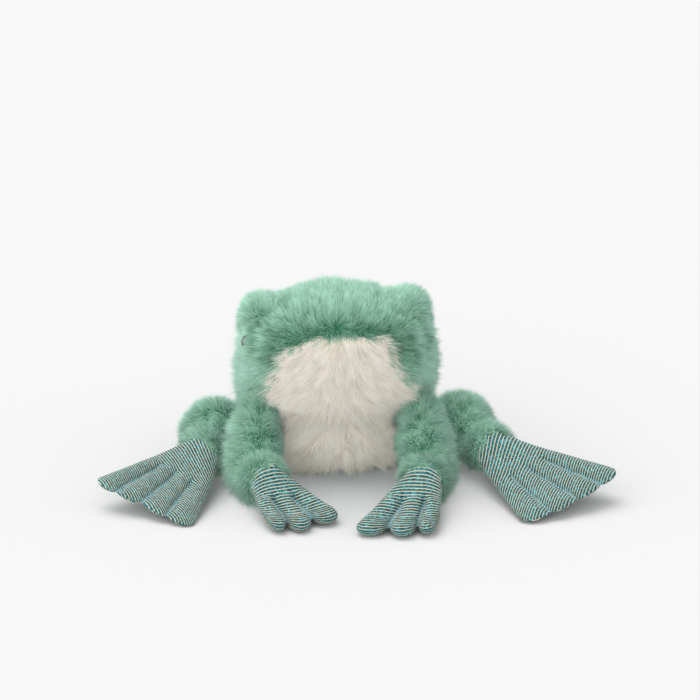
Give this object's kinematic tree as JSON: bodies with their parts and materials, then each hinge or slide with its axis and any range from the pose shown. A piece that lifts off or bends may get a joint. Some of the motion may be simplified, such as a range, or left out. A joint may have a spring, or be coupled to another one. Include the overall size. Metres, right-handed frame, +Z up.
{
  "type": "plush frog",
  "caption": "Sitting plush frog: a stuffed fur body with eye mounds and domed eyes, and furry legs that end in striped cloth hands and fanned feet.",
  "frame": {"origin": "on the floor, in the middle of the flat seat between the two halves of the body", "axes": "+X towards the frog's left side, +Y towards its rump, +Z up; it faces -Y"},
  "size_m": [0.3293, 0.2184, 0.118],
  "materials": {
    "green_fur": "soft green plush pile",
    "cream_fur": "soft cream plush pile",
    "striped_cloth": "woven teal and cream stripes",
    "filling": "loose polyester fibre",
    "bag_cloth": "plain cotton",
    "eye": "polished, nearly black",
    "washer": "moulded, matt"
  },
  "bodies": {
    "body": {"base_panel": "green_fur", "throat_panel": "cream_fur", "belly_panel": "cream_fur", "head_gusset": "green_fur", "side_panel_left": "green_fur", "side_panel_right": "green_fur", "weight_bag": "bag_cloth", "body_filling": "filling", "eye_left": "eye", "eye_right": "eye", "eye_washer_left": "washer", "eye_washer_right": "washer", "eye_mound_left": "green_fur", "eye_mound_right": "green_fur", "mound_filling_left": "filling", "mound_filling_right": "filling"},
    "front_leg_left": {"arm_left": "green_fur", "arm_filling_left": "filling"},
    "hand_left": {"hand_upper_left": "striped_cloth", "hand_palm_left": "striped_cloth", "hand_filling_left": "filling"},
    "hind_leg_left": {"thigh_left": "green_fur", "thigh_filling_left": "filling"},
    "foot_left": {"foot_upper_left": "striped_cloth", "foot_sole_left": "striped_cloth", "foot_filling_left": "filling"},
    "front_leg_right": {"arm_right": "green_fur", "arm_filling_right": "filling"},
    "hand_right": {"hand_upper_right": "striped_cloth", "hand_palm_right": "striped_cloth", "hand_filling_right": "filling"},
    "hind_leg_right": {"thigh_right": "green_fur", "thigh_filling_right": "filling"},
    "foot_right": {"foot_upper_right": "striped_cloth", "foot_sole_right": "striped_cloth", "foot_filling_right": "filling"}
  },
  "joints": [
    {"name": "shoulder_left", "type": "hinge", "parent": "body", "child": "front_leg_left", "pos_m": [0.04914, -0.0372, 0.04248], "axis": [-1, 0, 0], "range_deg": [-12, 35]},
    {"name": "wrist_left", "type": "hinge", "parent": "front_leg_left", "child": "hand_left", "pos_m": [0.04949, -0.09334, 0.0165], "axis": [-0.9426, 0.3338, 0], "range_deg": [-15, 30]},
    {"name": "hip_left", "type": "hinge", "parent": "body", "child": "hind_leg_left", "pos_m": [0.05544, -0.009, 0.024], "axis": [-1, 0, 0], "range_deg": [-20, 35]},
    {"name": "ankle_left", "type": "hinge", "parent": "hind_leg_left", "child": "foot_left", "pos_m": [0.09596, -0.05159, 0.02], "axis": [-0.8039, -0.5948, 0], "range_deg": [-12, 25]},
    {"name": "shoulder_right", "type": "hinge", "parent": "body", "child": "front_leg_right", "pos_m": [-0.04914, -0.0372, 0.04248], "axis": [-1, 0, 0], "range_deg": [-12, 35]},
    {"name": "wrist_right", "type": "hinge", "parent": "front_leg_right", "child": "hand_right", "pos_m": [-0.04947, -0.08693, 0.0165], "axis": [-0.9135, -0.4067, 0], "range_deg": [-15, 30]},
    {"name": "hip_right", "type": "hinge", "parent": "body", "child": "hind_leg_right", "pos_m": [-0.05544, -0.009, 0.024], "axis": [-1, 0, 0], "range_deg": [-20, 35]},
    {"name": "ankle_right", "type": "hinge", "parent": "hind_leg_right", "child": "foot_right", "pos_m": [-0.08797, -0.04759, 0.02], "axis": [-0.8039, 0.5948, 0], "range_deg": [-12, 25]}
  ]
}
